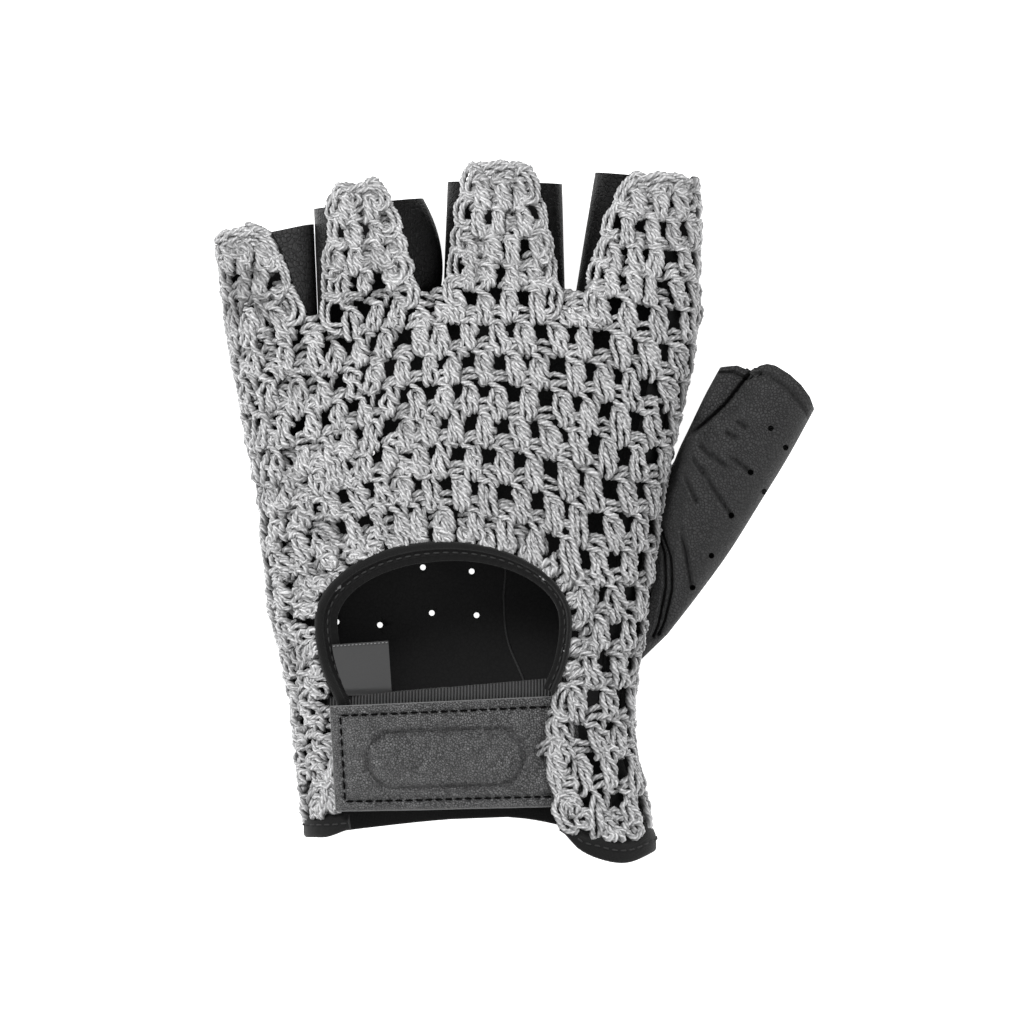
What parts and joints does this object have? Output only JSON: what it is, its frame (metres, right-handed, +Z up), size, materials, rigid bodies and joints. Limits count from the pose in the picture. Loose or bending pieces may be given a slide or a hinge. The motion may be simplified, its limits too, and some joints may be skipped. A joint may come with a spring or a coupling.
{
  "type": "driving glove",
  "caption": "Fingerless left-hand driving glove lying palm down: openwork crocheted back, leather palm and thumb, bound oval opening over the hand and a leather strap at the wrist.",
  "frame": {"origin": "under the middle of the glove's overall length and width, on the surface it lies on", "axes": "+X towards the thumb, +Y from the wrist to the fingers, +Z up out of the back of the hand"},
  "size_m": [0.1345, 0.158, 0.0287],
  "materials": {
    "crochet": "matt grey melange cotton yarn",
    "palm_leather": "matt black leather",
    "wall_leather": "matt black leather",
    "thumb_leather": "satin black grained leather",
    "binding": "matt black woven tape",
    "strap_leather": "satin black grained leather",
    "label": "matt grey woven tape"
  },
  "bodies": {
    "root": {"crochet_back": "crochet", "palm": "palm_leather", "fourchette_pinky_ring": "wall_leather", "fourchette_ring_middle": "wall_leather", "fourchette_middle_index": "wall_leather", "thumb": "thumb_leather", "opening_binding": "binding", "wrist_binding": "binding", "closure_strap": "strap_leather", "strap_underlap": "binding", "label": "label"}
  },
  "joints": []
}
